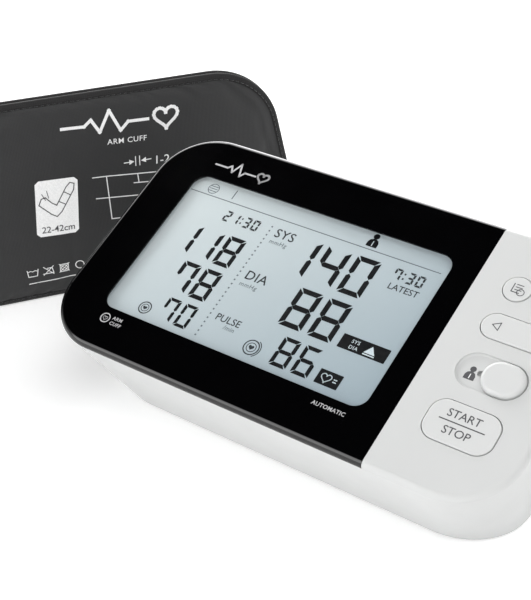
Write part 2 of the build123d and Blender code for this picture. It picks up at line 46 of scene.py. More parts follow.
SEGMENTS = {
    "0": "abcdef", "1": "bc", "2": "abged", "3": "abgcd", "4": "fgbc",
    "5": "afgcd", "6": "afgecd", "7": "fabc", "8": "abcdefg", "9": "abcdfg",
}

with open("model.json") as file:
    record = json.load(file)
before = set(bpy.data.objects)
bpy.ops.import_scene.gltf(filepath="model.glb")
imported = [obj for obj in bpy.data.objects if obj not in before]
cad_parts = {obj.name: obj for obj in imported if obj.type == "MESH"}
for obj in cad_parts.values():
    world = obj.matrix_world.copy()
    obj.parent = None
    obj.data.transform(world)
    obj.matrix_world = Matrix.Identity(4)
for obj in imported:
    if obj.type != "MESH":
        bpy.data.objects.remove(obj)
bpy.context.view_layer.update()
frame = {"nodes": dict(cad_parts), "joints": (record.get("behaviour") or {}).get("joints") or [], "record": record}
joints = {joint["name"]: joint for joint in frame["joints"]}


# ---------------------------------------------------------------- working frames
def axes_matrix(origin, x_axis, y_axis, z_axis):
    """Matrix that takes millimetres along three axes to metres in the row frame."""
    columns = [Vector(axis).normalized() * MM for axis in (x_axis, y_axis, z_axis)]
    matrix = Matrix.Identity(4)
    for index, column in enumerate(columns):
        for row in range(3):
            matrix[row][index] = column[row]
    for row in range(3):
        matrix[row][3] = origin[row]
    return matrix


# Panel frame (x, s, h): the rocker's pivot is a known point of it, and three joint axes span it.
rocker_place = (71.1, 64.8, -4.0)
panel_x = Vector((1, 0, 0))
panel_s = Vector(joints["rocker_tilt"]["axis"])
panel_h = -Vector(joints["start_stop_press"]["axis"])
pivot = Vector(joints["rocker_tilt"]["pos_m"])
pivot_from_origin = panel_x * rocker_place[0] + panel_s * rocker_place[1] + panel_h * rocker_place[2]
panel_origin = pivot - pivot_from_origin * MM
panel = axes_matrix(panel_origin, panel_x, panel_s, panel_h)

# Cuff frame (t, z, w): w out of the printed face, t from the fold to the free end, z up.
fold_place = (-48.0, 46.5, -2.7)
cuff_w = -Vector(joints["cuff_lift_away"]["axis"])
cuff_z = Vector((0, 0, 1))
cuff_t = cuff_z.cross(cuff_w)
fold = Vector(joints["cuff_open"]["pos_m"])
cuff_origin = fold - (cuff_t * fold_place[0] + cuff_z * fold_place[1] + cuff_w * fold_place[2]) * MM
cuff = axes_matrix(cuff_origin, cuff_t, cuff_z, cuff_w)
cuff_heading = atan2(cuff_t.y, cuff_t.x)


# ---------------------------------------------------------------- mesh helpers
def new_object(name, vertices, faces, material, smooth=True):
    mesh = bpy.data.meshes.new(name)
    mesh.from_pydata([tuple(v) for v in vertices], [], faces)
    mesh.validate()
    mesh.polygons.foreach_set("use_smooth", [smooth] * len(mesh.polygons))
    obj = bpy.data.objects.new(name, mesh)
    bpy.context.scene.collection.objects.link(obj)
    mesh.materials.append(material)
    return obj


class Sheet:
    """Collects flat printed shapes, drawn in millimetres on a plane, into one thin mesh."""

    def __init__(self, place, height, depth=0.03, shift=(0.0, 0.0)):
        self.place = place
        self.height = height
        self.depth = depth
        self.shift = shift
        self.vertices = []
        self.faces = []

    def add(self, points, faces=None):
        """A flat polygon, or flat faces on shared points, extruded down to the printed surface."""
        start = len(self.vertices)
        count = len(points)
        faces = faces or [tuple(range(count))]
        for level in (self.height, self.height - self.depth):
            self.vertices += [Vector((x + self.shift[0], y + self.shift[1], level)) for x, y in points]
        self.faces += [tuple(start + i for i in face) for face in faces]
        edges = {}
        for face in faces:
            for a, b in zip(face, face[1:] + face[:1]):
                edges[(a, b)] = True
        for a, b in edges:
            if (b, a) not in edges:
                self.faces.append((start + a, start + count + a, start + count + b, start + b))

    def box(self, x, y, width, height, radius=0.0):
        """A rectangle centred on x, y, with rounded corners."""
        self.add(rounded_rectangle(x, y, width, height, radius))

    def line(self, points, width, closed=False):
        """A stroke of even width along a polyline, with square joins."""
        pairs = list(zip(points, points[1:]))
        if closed:
            pairs.append((points[-1], points[0]))
        for (x0, y0), (x1, y1) in pairs:
            length = hypot(x1 - x0, y1 - y0)
            dx, dy = (x1 - x0) / length * width / 2, (y1 - y0) / length * width / 2
            self.add(
                [
                    (x0 - dx - dy, y0 - dy + dx),
                    (x0 - dx + dy, y0 - dy - dx),
                    (x1 + dx + dy, y1 + dy - dx),
                    (x1 + dx - dy, y1 + dy + dx),
                ]
            )

    def ring(self, x, y, radius, width, start=0.0, end=2 * pi, steps=40):
        """A ring or an arc of even width."""
        points, faces = [], []
        for i in range(steps + 1):
            angle = start + (end - start) * i / steps
            for r in (radius - width / 2, radius + width / 2):
                points.append((x + r * cos(angle), y + r * sin(angle)))
            if i:
                faces.append((2 * i - 2, 2 * i - 1, 2 * i + 1, 2 * i))
        self.add(points, faces)

    def disc(self, x, y, radius, steps=24):
        angles = [2 * pi * i / steps for i in range(steps)]
        self.add([(x + radius * cos(angle), y + radius * sin(angle)) for angle in angles])

    def text(self, words, x, y, height, align="LEFT", spacing=1.0, weight=0.0, turn=0.0):
        """Plain lettering with its baseline's start, middle or end at x, y."""
        curve = bpy.data.curves.new("lettering", "FONT")
        curve.body = words
        curve.size = height / CAP_SHARE
        curve.align_x = align
        curve.space_character = spacing
        curve.offset = weight
        curve.resolution_u = 3
        holder = bpy.data.objects.new("lettering", curve)
        bpy.context.scene.collection.objects.link(holder)
        bpy.context.view_layer.update()
        mesh = bpy.data.meshes.new_from_object(holder.evaluated_get(bpy.context.evaluated_depsgraph_get()))
        ct, st = cos(turn), sin(turn)
        points = [(x + v.co.x * ct - v.co.y * st, y + v.co.x * st + v.co.y * ct) for v in mesh.vertices]
        faces = [tuple(p.vertices) for p in mesh.polygons]
        if points:
            self.add(points, faces)
        bpy.data.objects.remove(holder)

    def build(self, name, material, body, drape=None):
        """Turns the collected shapes into one object that rides on a body."""
        points = self.vertices
        obj = new_object(name, [self.place @ v for v in points], self.faces, material, smooth=False)
        if drape:
            drape(obj)
        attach(obj, body)
        return obj


def rounded_rectangle(x, y, width, height, radius, steps=6):
    if radius <= 0:
        half_w, half_h = width / 2, height / 2
        return [(x + sx * half_w, y + sy * half_h) for sx, sy in ((-1, -1), (1, -1), (1, 1), (-1, 1))]
    points = []
    for quarter, (sx, sy) in enumerate(((1, 1), (-1, 1), (-1, -1), (1, -1))):
        cx, cy = x + sx * (width / 2 - radius), y + sy * (height / 2 - radius)
        for i in range(steps + 1):
            angle = (quarter + i / steps) * pi / 2
            points.append((cx + radius * cos(angle), cy + radius * sin(angle)))
    return points


# ---------------------------------------------------------------- material helpers
def new_material(name):
    material = bpy.data.materials.new(name)
    material.use_nodes = True
    tree = material.node_tree
    shader = tree.nodes["Principled BSDF"]
    return material, tree, shader


def coordinates(tree, scale=1.0, turn=0.0):
    """Object coordinates, scaled, and turned about the vertical."""
    source = tree.nodes.new("ShaderNodeTexCoord")
    mapping = tree.nodes.new("ShaderNodeMapping")
    mapping.inputs["Scale"].default_value = (scale, scale, scale)
    mapping.inputs["Rotation"].default_value = (0, 0, turn)
    tree.links.new(source.outputs["Object"], mapping.inputs["Vector"])
    return mapping.outputs["Vector"]


def noise(tree, vector, scale, detail=3.0, roughness=0.55):
    node = tree.nodes.new("ShaderNodeTexNoise")
    node.inputs["Scale"].default_value = scale
    node.inputs["Detail"].default_value = detail
    node.inputs["Roughness"].default_value = roughness
    tree.links.new(vector, node.inputs["Vector"])
    return node.outputs["Fac"]


def ramp(tree, value, stops):
    node = tree.nodes.new("ShaderNodeValToRGB")
    elements = node.color_ramp.elements
    while len(elements) < len(stops):
        elements.new(0.5)
    for element, (position, colour) in zip(elements, stops):
        element.position = position
        element.color = (*colour, 1)
    tree.links.new(value, node.inputs["Fac"])
    return node.outputs["Color"]


def bump(tree, height, strength, distance, base=None):
    node = tree.nodes.new("ShaderNodeBump")
    node.inputs["Strength"].default_value = strength
    node.inputs["Distance"].default_value = distance
    tree.links.new(height, node.inputs["Height"])
    if base is not None:
        tree.links.new(base, node.inputs["Normal"])
    return node.outputs["Normal"]


def shade(colour, factor):
    return tuple(min(1.0, c * factor) for c in colour)


def moulded_plastic(name, colour, roughness=0.42, grain=0.35, spread=0.025, coat=0.0):
    """Moulded plastic: fine spark grain, faint flow marks, and a little dirt in its colour."""
    material, tree, shader = new_material(name)
    place = coordinates(tree)
    flow = noise(tree, place, 18.0, 4.0)
    tree.links.new(
        ramp(tree, flow, [(0.3, shade(colour, 1 - spread)), (0.7, shade(colour, 1 + spread))]),
        shader.inputs["Base Color"],
    )
    patch = noise(tree, place, 60.0, 3.0)
    rough = ramp(tree, patch, [(0.3, (roughness - 0.04,) * 3), (0.7, (roughness + 0.05,) * 3)])
    tree.links.new(rough, shader.inputs["Roughness"])
    fine = noise(tree, place, 2600.0, 2.0)
    tree.links.new(bump(tree, fine, grain, 0.00004), shader.inputs["Normal"])
    shader.inputs["Coat Weight"].default_value = coat
    shader.inputs["Coat Roughness"].default_value = 0.08
    return material


def gloss_black(name):
    """Piano black: deep colour under a clear gloss, with the faintest ripple and dust."""
    material, tree, shader = new_material(name)
    place = coordinates(tree)
    dust = noise(tree, place, 900.0, 5.0, 0.7)
    tree.links.new(ramp(tree, dust, [(0.62, (0.0008, 0.0008, 0.001)), (0.86, (0.006, 0.006, 0.007))]),
                   shader.inputs["Base Color"])
    haze = noise(tree, place, 45.0, 3.0)
    tree.links.new(ramp(tree, haze, [(0.3, (0.07,) * 3), (0.75, (0.12,) * 3)]), shader.inputs["Roughness"])
    ripple = noise(tree, place, 30.0, 2.0)
    tree.links.new(bump(tree, ripple, 0.05, 0.0002), shader.inputs["Normal"])
    return material


def metal(name, colour, roughness=0.3, brushed=True):
    material, tree, shader = new_material(name)
    place = coordinates(tree, 1.0)
    streak = noise(tree, place, 400.0 if brushed else 60.0, 6.0)
    tree.links.new(ramp(tree, streak, [(0.3, shade(colour, 0.8)), (0.7, shade(colour, 1.1))]),
                   shader.inputs["Base Color"])
    tree.links.new(ramp(tree, streak, [(0.3, (roughness - 0.08,) * 3), (0.7, (roughness + 0.1,) * 3)]),
                   shader.inputs["Roughness"])
    shader.inputs["Metallic"].default_value = 1.0
    tree.links.new(bump(tree, streak, 0.2, 0.00003), shader.inputs["Normal"])
    return material


def woven_fabric(
    name, colour, pitch, sheen=0.25, roughness=0.75, height=0.00006, contrast=0.35, mottling=0.12
):
    """Plain weave in the cuff's own directions: crossed threads, thread gaps and soft mottling."""
    material, tree, shader = new_material(name)
    place = coordinates(tree, 1.0, -cuff_heading)
    waves = []
    for direction in ("X", "Z"):
        wave = tree.nodes.new("ShaderNodeTexWave")
        wave.bands_direction = direction
        wave.inputs["Scale"].default_value = 2 * pi / pitch / 20.0
        wave.inputs["Distortion"].default_value = 0.6
        wave.inputs["Detail"].default_value = 1.0
        wave.inputs["Detail Scale"].default_value = 3.0
        tree.links.new(place, wave.inputs["Vector"])
        waves.append(wave.outputs["Fac"])
    weave = tree.nodes.new("ShaderNodeMath")
    weave.operation = "MULTIPLY"
    for index, wave in enumerate(waves):
        tree.links.new(wave, weave.inputs[index])
    soft = noise(tree, place, 35.0, 4.0)
    fuzz = noise(tree, place, 1500.0, 3.0)
    mottled = ramp(tree, soft, [(0.3, shade(colour, 1 - mottling)), (0.7, shade(colour, 1 + mottling))])
    darker = tree.nodes.new("ShaderNodeMix")
    darker.data_type = "RGBA"
    darker.blend_type = "MULTIPLY"
    threads = ramp(tree, weave.outputs["Value"], [(0.0, (1 - contrast,) * 3), (0.8, (1.0,) * 3)])
    darker.inputs["Factor"].default_value = 1.0
    tree.links.new(mottled, darker.inputs["A"])
    tree.links.new(threads, darker.inputs["B"])
    tree.links.new(darker.outputs["Result"], shader.inputs["Base Color"])
    first = bump(tree, weave.outputs["Value"], 0.8, height)
    tree.links.new(bump(tree, fuzz, 0.25, height * 0.6, first), shader.inputs["Normal"])
    shader.inputs["Roughness"].default_value = roughness
    shader.inputs["Sheen Weight"].default_value = sheen
    shader.inputs["Sheen Roughness"].default_value = 0.4
    return material


def ink(name, colour, roughness=0.55, specular=0.5):
    """Printing ink: even colour broken by the faintest speckle."""
    material, tree, shader = new_material(name)
    speckle = noise(tree, coordinates(tree), 1800.0, 2.0)
    tree.links.new(ramp(tree, speckle, [(0.3, shade(colour, 0.9)), (0.7, shade(colour, 1.06))]),
                   shader.inputs["Base Color"])
    shader.inputs["Roughness"].default_value = roughness
    shader.inputs["Specular IOR Level"].default_value = specular
    return material


def display_with_painted_light(name):
    """Display: pale blue-grey with a painted reflection that falls off towards the lower right, the same tint
    painted as a glow through emission, and a pixel-fine tooth.
    """
    material, tree, shader = new_material(name)
    source = tree.nodes.new("ShaderNodeTexCoord")
    split = tree.nodes.new("ShaderNodeSeparateXYZ")
    tree.links.new(source.outputs["Object"], split.inputs["Vector"])
    low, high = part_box("lcd_glass")
    across = tree.nodes.new("ShaderNodeMapRange")
    across.inputs["From Min"].default_value = low.x
    across.inputs["From Max"].default_value = high.x
    tree.links.new(split.outputs["X"], across.inputs["Value"])
    down = tree.nodes.new("ShaderNodeMapRange")
    down.inputs["From Min"].default_value = high.y
    down.inputs["From Max"].default_value = low.y
    tree.links.new(split.outputs["Y"], down.inputs["Value"])
    both = tree.nodes.new("ShaderNodeMath")
    both.operation = "MULTIPLY_ADD"
    both.inputs[1].default_value = 0.65
    tree.links.new(across.outputs["Result"], both.inputs[0])
    part = tree.nodes.new("ShaderNodeMath")
    part.operation = "MULTIPLY"
    part.inputs[1].default_value = 0.35
    tree.links.new(down.outputs["Result"], part.inputs[0])
    tree.links.new(part.outputs["Value"], both.inputs[2])
    # Painted reflection: the tint runs from the lighter end at the upper left to the dimmer end at the lower
    # right.
    painted_reflection_tint = ramp(tree, both.outputs["Value"], [(0.0, LCD_PAINTED_LIT), (1.0, LCD_PAINTED_DIM)])
    tree.links.new(painted_reflection_tint, shader.inputs["Base Color"])
    # Painted glow: the display emits its own painted reflection tint, which brightens it beyond what the lamps
    # give.
    tree.links.new(painted_reflection_tint, shader.inputs["Emission Color"])
    shader.inputs["Emission Strength"].default_value = 0.28
    tooth = noise(tree, source.outputs["Object"], 3000.0, 1.0)
    tree.links.new(bump(tree, tooth, 0.1, 0.00002), shader.inputs["Normal"])
    shader.inputs["Roughness"].default_value = 0.35
    return material


def clear_window(name):
    """Thin clear acrylic: lets light through and keeps a faint gloss."""
    material, tree, shader = new_material(name)
    tree.nodes.remove(shader)
    clear = tree.nodes.new("ShaderNodeBsdfTransparent")
    clear.inputs["Color"].default_value = (0.97, 0.98, 0.98, 1)
    gloss = tree.nodes.new("ShaderNodeBsdfGlossy")
    gloss.inputs["Roughness"].default_value = 0.05
    layer = tree.nodes.new("ShaderNodeLayerWeight")
    mix = tree.nodes.new("ShaderNodeMixShader")
    share = ramp(tree, layer.outputs["Facing"], [(0.0, (0.012,) * 3), (0.6, (0.03,) * 3), (1.0, (0.55,) * 3)])
    tree.links.new(share, mix.inputs["Fac"])
    tree.links.new(clear.outputs["BSDF"], mix.inputs[1])
    tree.links.new(gloss.outputs["BSDF"], mix.inputs[2])
    tree.links.new(mix.outputs["Shader"], tree.nodes["Material Output"].inputs["Surface"])
    return material


def rubber(name, colour, roughness=0.7, through=0.0):
    material = moulded_plastic(name, colour, roughness, 0.6, 0.05)
    material.node_tree.nodes["Principled BSDF"].inputs["Subsurface Weight"].default_value = through
    return material


materials = {
    "white_shell": moulded_plastic("white_shell", (0.515, 0.521, 0.518), 0.42, 0.25, 0.006),
    "white_base": moulded_plastic("white_base", (0.492, 0.497, 0.496), 0.5, 0.5, 0.01),
    "white_keys": moulded_plastic("white_keys", (0.541, 0.547, 0.544), 0.34, 0.15, 0.006),
    "black_gloss": gloss_black("black_gloss"),
    "clear_window": clear_window("clear_window"),
    "lcd": display_with_painted_light("lcd"),
    "reflector_sheet": moulded_plastic("reflector_sheet", (0.8, 0.8, 0.8), 0.5),
    "white_frame": moulded_plastic("white_frame", (0.7, 0.7, 0.7), 0.5),
    "elastomer": rubber("elastomer", (0.05, 0.06, 0.07)),
    "circuit_board": moulded_plastic("circuit_board", (0.01, 0.12, 0.04), 0.3, 0.6, 0.2),
    "chip_black": moulded_plastic("chip_black", (0.015, 0.015, 0.016), 0.5, 0.6, 0.1),
    "shield_can": metal("shield_can", (0.7, 0.7, 0.7)),
    "nickel_contacts": metal("nickel_contacts", (0.72, 0.69, 0.62)),
    "jack_black": moulded_plastic("jack_black", (0.02, 0.02, 0.021), 0.45, 0.5, 0.1),
    "jack_grey": moulded_plastic("jack_grey", (0.55, 0.56, 0.57), 0.45, 0.5),
    "steel_can": metal("steel_can", (0.62, 0.63, 0.64), 0.35),
    "pump_plastic": moulded_plastic("pump_plastic", (0.72, 0.72, 0.66), 0.45, 0.5),
    "crank_steel": metal("crank_steel", (0.6, 0.6, 0.6), 0.25),
    "bracket_steel": metal("bracket_steel", (0.66, 0.66, 0.66), 0.35),
    "screw_steel": metal("screw_steel", (0.5, 0.5, 0.51), 0.35),
    "silicone_tube": rubber("silicone_tube", (0.7, 0.71, 0.7), 0.4, 0.2),
    "battery_can": moulded_plastic("battery_can", (0.05, 0.06, 0.08), 0.25, 0.3, 0.1, 0.4),
    "foot_rubber": rubber("foot_rubber", (0.05, 0.05, 0.055), 0.8),
    "cuff_fabric": woven_fabric(
        "cuff_fabric", (0.0178, 0.0180, 0.0188), 0.0006, 0.08, 0.62, 0.00005, 0.3, 0.1
    ),
    "cuff_lining": woven_fabric("cuff_lining", (0.022, 0.022, 0.025), 0.0012, 0.4, 0.9, 0.00015, 0.5, 0.2),
    "cuff_binding": woven_fabric(
        "cuff_binding", (0.0095, 0.0088, 0.0092), 0.0009, 0.1, 0.8, 0.0001, 0.5, 0.1
    ),
    "bladder_film": rubber("bladder_film", (0.04, 0.04, 0.045), 0.5),
    "stiffener_sheet": moulded_plastic("stiffener_sheet", (0.6, 0.6, 0.6), 0.5),
    "hook_tape": woven_fabric("hook_tape", (0.012, 0.012, 0.013), 0.0016, 0.5, 0.9, 0.0003, 0.7, 0.1),
    "gland_plastic": moulded_plastic("gland_plastic", (0.02, 0.02, 0.022), 0.4, 0.5, 0.1),
}
ink_black = ink("ink_black", (0.004, 0.004, 0.005), 0.6, 0.15)
ink_grey = ink("ink_grey", (0.030, 0.033, 0.036), 0.6, 0.15)
ink_faint = ink("ink_faint", (0.13, 0.15, 0.17), 0.6)
ink_key = ink("ink_key", (0.06, 0.06, 0.065), 0.6)
ink_white = ink("ink_white", (0.80, 0.80, 0.80), 0.6)
ink_silver = ink("ink_silver", (0.42, 0.42, 0.43), 0.5)
ink_label = ink("ink_label", (0.86, 0.86, 0.86), 0.5)
thread = woven_fabric("thread", (0.03, 0.03, 0.032), 0.0004, 0.4, 0.8, 0.00005)


def finish_cad_nodes():
    """Gives every CAD node its slot's material."""
    slots = {entry["node"]: entry["material_slot"] for entry in frame["record"]["subparts"]}
    for name, obj in frame["nodes"].items():
        obj.data.materials.clear()
        obj.data.materials.append(materials[slots[name]])
        obj.data.polygons.foreach_set("material_index", [0] * len(obj.data.polygons))


finish_cad_nodes()


# ---------------------------------------------------------------- display: segments, words and icons
lcd_ink_h = -2.87
lcd_shift = (-1.84, 1.46)


def seven_segment(sheet, digit, x, s, width, height, thick, gap=0.06):
    """One digit whose lower left corner is at x, s; each bar has mitred ends and a small gap."""
    outer_mitre, middle_mitre = 0.55, 0.9
    half = thick / 2
    centre_x, centre_s = x + width / 2, s + height / 2
    left, right = x + half, x + width - half
    low, mid, high = s + half, s + height / 2, s + height - half
    bars = {
        "a": ((left, high), (right, high)),
        "g": ((left, mid), (right, mid)),
        "d": ((left, low), (right, low)),
        "f": ((left, mid), (left, high)), "b": ((right, mid), (right, high)),
        "e": ((left, low), (left, mid)), "c": ((right, low), (right, mid)),
    }
    for name in SEGMENTS[digit]:
        (x0, s0), (x1, s1) = bars[name]
        length = hypot(x1 - x0, s1 - s0)
        ux, us = (x1 - x0) / length, (s1 - s0) / length
        x0, s0, x1, s1 = x0 + ux * gap, s0 + us * gap, x1 - ux * gap, s1 - us * gap
        px, ps = -us * half, ux * half
        if name == "g":
            points = [(x0, s0), (x0 + ux * half + px, s0 + ps), (x1 - ux * half + px, s1 + ps),
                      (x1, s1), (x1 - ux * half - px, s1 - ps), (x0 + ux * half - px, s0 - ps)]
        else:
            inward = 1 if (px * (centre_x - x0) + ps * (centre_s - s0)) > 0 else -1
            ix, iy = px * inward, ps * inward
            reach_x, reach_s = ux * half * outer_mitre, us * half * outer_mitre
            points = [(x0 - reach_x - ix, s0 - reach_s - iy), (x1 + reach_x - ix, s1 + reach_s - iy),
                      (x1 - ux * half + ix, s1 - us * half + iy), (x0 + ux * half + ix, s0 + us * half + iy)]
            if name in "bcef" and abs(s0 - mid) < abs(s1 - mid):
                points[0] = (x0 - ix, s0 - iy + us * half * middle_mitre)
                points[3] = (x0 + ix, s0 + iy + us * half)
                points.insert(0, (x0, s0))
            elif name in "bcef":
                points[1] = (x1 - ix, s1 - iy - us * half * middle_mitre)
                points[2] = (x1 + ix, s1 + iy - us * half)
                points.insert(2, (x1, s1))
        sheet.add(points)


def number(sheet, digits, right, s, width, height, pitch, thick):
    """Digits set from the right, as a display sets them."""
    for place, digit in enumerate(reversed(digits)):
        seven_segment(sheet, digit, right - width - place * pitch, s, width, height, thick)


def clock(sheet, hours, minutes, right, s):
    """A small time of day with its colon."""
    number(sheet, minutes, right, s, 2.9, 5.0, 3.9, 0.8)
    for dot_s in (s + 1.4, s + 3.5):
        sheet.box(right - 8.0, dot_s, 0.65, 0.75)
    number(sheet, hours, right - 9.2, s, 2.9, 5.0, 3.9, 0.8)


def person(sheet, x, s, size):
    """Head and shoulders."""
    sheet.disc(x, s + size * 0.66, size * 0.17)
    shoulders = [(-0.30, 0.0), (0.30, 0.0), (0.30, 0.26), (0.22, 0.42), (0.08, 0.50), (-0.08, 0.50),
                 (-0.22, 0.42), (-0.30, 0.26)]
    sheet.add([(x + px * size, s + py * size) for px, py in shoulders])


def heart_outline(x, s, size, steps=28):
    points = []
    for i in range(steps):
        a = 2 * pi * i / steps
        rise = 0.406 * cos(a) - 0.156 * cos(2 * a) - 0.0625 * cos(3 * a) - 0.031 * cos(4 * a)
        points.append((x + size * 0.5 * sin(a) ** 3, s + size * rise))
    return points


def display_marks():
    bold = Sheet(panel, lcd_ink_h, shift=lcd_shift)
    number(bold, "118", -38.9, 49.9, 7.9, 13.7, 9.95, 1.8)
    number(bold, "78", -38.9, 33.5, 7.9, 13.7, 9.95, 1.8)
    number(bold, "70", -38.9, 20.5, 5.8, 10.2, 7.7, 1.3)
    number(bold, "140", 14.3, 56.8, 9.9, 17.0, 12.4, 2.1)
    number(bold, "88", 14.3, 36.4, 9.9, 17.0, 12.4, 2.1)
    number(bold, "86", 14.3, 20.6, 7.1, 12.3, 9.1, 1.55)
    person(bold, 6.4, 78.7, 7.4)
    bold.box(26.6, 39.4, 19.0, 5.9, 0.3)
    bold.box(21.7, 23.7, 9.2, 5.9, 0.3)
    bold.build("display_digits", ink_black, "monitor")

    middle = Sheet(panel, lcd_ink_h, shift=lcd_shift)
    clock(middle, "21", "30", -38.7, 68.7)
    clock(middle, "7", "30", 32.6, 69.0)
    middle.text("SYS", -31.0, 69.5, 4.1, spacing=1.05, weight=0.03)
    middle.text("DIA", -31.0, 48.7, 4.1, spacing=1.05, weight=0.03)
    middle.text("PULSE", -31.0, 29.0, 3.0, spacing=1.0, weight=0.025)
    middle.text("LATEST", 21.0, 64.9, 2.7, spacing=1.0, weight=0.025)
    for x, s, radius in ((-59.0, 22.8, 2.5), (-11.1, 23.9, 3.0)):
        middle.ring(x, s, radius, 0.45)
        middle.ring(x, s, radius * 0.62, 0.3)
        middle.add(heart_outline(x, s, radius * 0.75))
    middle.ring(-11.1, 23.9, 3.75, 0.35, -pi / 3, pi / 3, 16)
    middle.build("display_words", ink_grey, "monitor")

    small = Sheet(panel, lcd_ink_h, shift=lcd_shift)
    small.text("mmHg", -31.0, 66.3, 1.9, spacing=1.15, weight=0.02)
    small.text("mmHg", -31.0, 45.4, 1.9, spacing=1.15, weight=0.02)
    small.text("/min", -25.6, 26.4, 1.9, spacing=1.05, weight=0.02)
    small.box(-19.6, 77.5, 111.6, 0.36)
    small.box(-56.6, 81.2, 0.42, 4.4)
    for i in range(27):
        small.box(-33.7, 73.2 - i * 2.03, 0.66, 0.66)
    for row in range(3):
        small.box(-66.5, 79.7 + row * 1.1, 3.6, 0.3)
    small.ring(-66.5, 80.8, 2.3, 0.3)
    small.build("display_rules", ink_faint, "monitor")

    pale = Sheet(panel, lcd_ink_h + 0.02, shift=lcd_shift)
    pale.text("SYS", 21.2, 39.8, 1.5, spacing=1.1, weight=0.01)
    pale.text("DIA", 21.2, 37.4, 1.5, spacing=1.1, weight=0.01)
    pale.add([(27.2, 38.0), (31.6, 38.0), (29.4, 41.2)])
    pale.box(29.4, 37.4, 4.6, 0.45)
    pale.line(heart_outline(20.6, 23.8, 4.0), 0.35, closed=True)
    pale.box(24.2, 24.2, 1.4, 0.4)
    pale.box(24.2, 23.2, 1.4, 0.4)
    pale.text("1", 6.4, 79.2, 2.3, align="CENTER", weight=0.02)
    pale.build("display_reversed_marks", ink("ink_display_pale", (0.62, 0.68, 0.72)), "monitor")


display_marks()


# ---------------------------------------------------------------- printing on the bezel and the keys
def bezel_marks():
    """A generic pulse mark where a name would stand, and two small generic marks under the display."""
    marks = Sheet(panel, 0.035, 0.04)
    trace = [(-72.4, 91.6), (-66.8, 91.6), (-65.4, 93.0), (-63.9, 90.2), (-61.9, 95.0), (-59.9, 89.4),
             (-58.4, 91.6), (-53.6, 91.6)]
    marks.line(trace, 0.75)
    marks.line(heart_outline(-50.2, 91.9, 5.0), 0.75, closed=True)
    marks.build("bezel_pulse_mark", ink_silver, "monitor")
    small = Sheet(panel, 0.035, 0.04)
    small.ring(-70.6, 13.2, 1.9, 0.42)
    small.line(heart_outline(-70.6, 13.1, 1.9), 0.3, closed=True)
    small.text("ARM", -67.6, 13.6, 1.5, spacing=1.1, weight=0.02)
    small.text("CUFF", -67.6, 11.3, 1.5, spacing=1.1, weight=0.02)
    small.text("AUTOMATIC", 20.7, 13.2, 1.6, spacing=1.05, weight=0.02)
    small.build("bezel_small_marks", ink_silver, "monitor")


def key_marks():
    top = 0.385
    start = Sheet(panel, top, 0.04)
    start.text("START", 70.7, 27.6, 3.1, align="CENTER", spacing=0.98, weight=0.02)
    start.box(71.1, 26.0, 16.6, 0.42)
    start.text("STOP", 70.8, 21.3, 3.1, align="CENTER", spacing=0.98, weight=0.02)
    start.build("start_stop_legend", ink_key, "start_stop_key")
    arrows = Sheet(panel, top, 0.04)
    for side in (-1, 1):
        tip = 71.1 + side * 8.9
        back = 71.1 + side * 6.3
        arrows.line([(tip, 64.9), (back, 66.5), (back, 63.3)], 0.32, closed=True)
    arrows.build("rocker_arrows", ink_key, "rocker_key")
    memory = Sheet(panel, top, 0.04)
    memory.line([(61.6, 82.9), (61.6, 79.5), (64.4, 79.5)], 0.35)
    for s in (80.6, 81.7, 82.8):
        memory.box(63.7, s, 2.6, 0.32)
    memory.ring(64.9, 80.0, 1.3, 0.3)
    memory.build("memory_icon", ink_key, "memory_key")
    waves = Sheet(panel, top, 0.04)
    waves.disc(77.5, 79.6, 0.55)
    for radius in (1.5, 2.6):
        waves.ring(77.5, 79.6, radius + 0.1, 0.38, radians(5), radians(85), 14)
    waves.build("settings_icon", ink_key, "settings_key")
    user = Sheet(panel, -0.96, 0.04)
    person(user, 64.1, 43.0, 6.4)
    user.build("user_one_icon", ink_key, "monitor")
    figure = Sheet(panel, -0.93, 0.04)
    figure.text("1", 64.1, 43.5, 1.9, align="CENTER", weight=0.02)
    figure.build("user_one_figure", ink_white, "monitor")


bezel_marks()
key_marks()


# ---------------------------------------------------------------- cuff
cuff_height = 93.0
leaf_depth = 2.5
leaf_gap = 0.4
fold_t = -48.0
tape = 3.0
end_corners = ((141.0, 0.0), (139.0, 30.0), (125.0, 93.0))
end_radii = (22.0, 60.0, 32.0)
edge_step = 1.6
crown_height = 0.9
face_sink = 0.12
face_thickness = 0.5
cloth_frames = 22
cloth_pressure = 0.6
cloth_shrink = -0.012
cloth_reach = 0.9


def filleted(points, radii, step=edge_step):
    """An open polyline with each inner corner rounded by an arc."""
    out = [Vector(points[0])]
    for before, corner, after, radius in zip(points, points[1:], points[2:], radii):
        before, corner, after = Vector(before), Vector(corner), Vector(after)
        into, away = (corner - before).normalized(), (after - corner).normalized()
        turn = into.angle(away)
        reach = radius * sin(turn / 2) / cos(turn / 2)
        side = 1 if into.cross(away) > 0 else -1
        centre = corner - into * reach + Vector((-into.y, into.x)) * side * radius
        start_angle = atan2(-into.x * side, into.y * side)
        steps = max(2, round(radius * turn / step))
        for i in range(steps + 1):
            a = start_angle + side * turn * i / steps
            out.append(centre + Vector((cos(a), sin(a))) * radius)
    out.append(Vector(points[-1]))
    return out


def free_edge(inset):
    """The leaf's edge from the bottom of the fold round the free end to the top of the fold."""
    path = filleted([(fold_t, 0.0), *end_corners, (fold_t, cuff_height)], end_radii)
    dense = []
    for a, b in zip(path, path[1:]):
        count = max(1, round((b - a).length / edge_step))
        dense += [a.lerp(b, i / count) for i in range(count)]
    dense.append(path[-1])
    if inset == 0:
        return dense
    moved = []
    for i, point in enumerate(dense):
        along = (dense[min(i + 1, len(dense) - 1)] - dense[max(i - 1, 0)]).normalized()
        moved.append(point + Vector((-along.y, along.x)) * inset)
    return moved


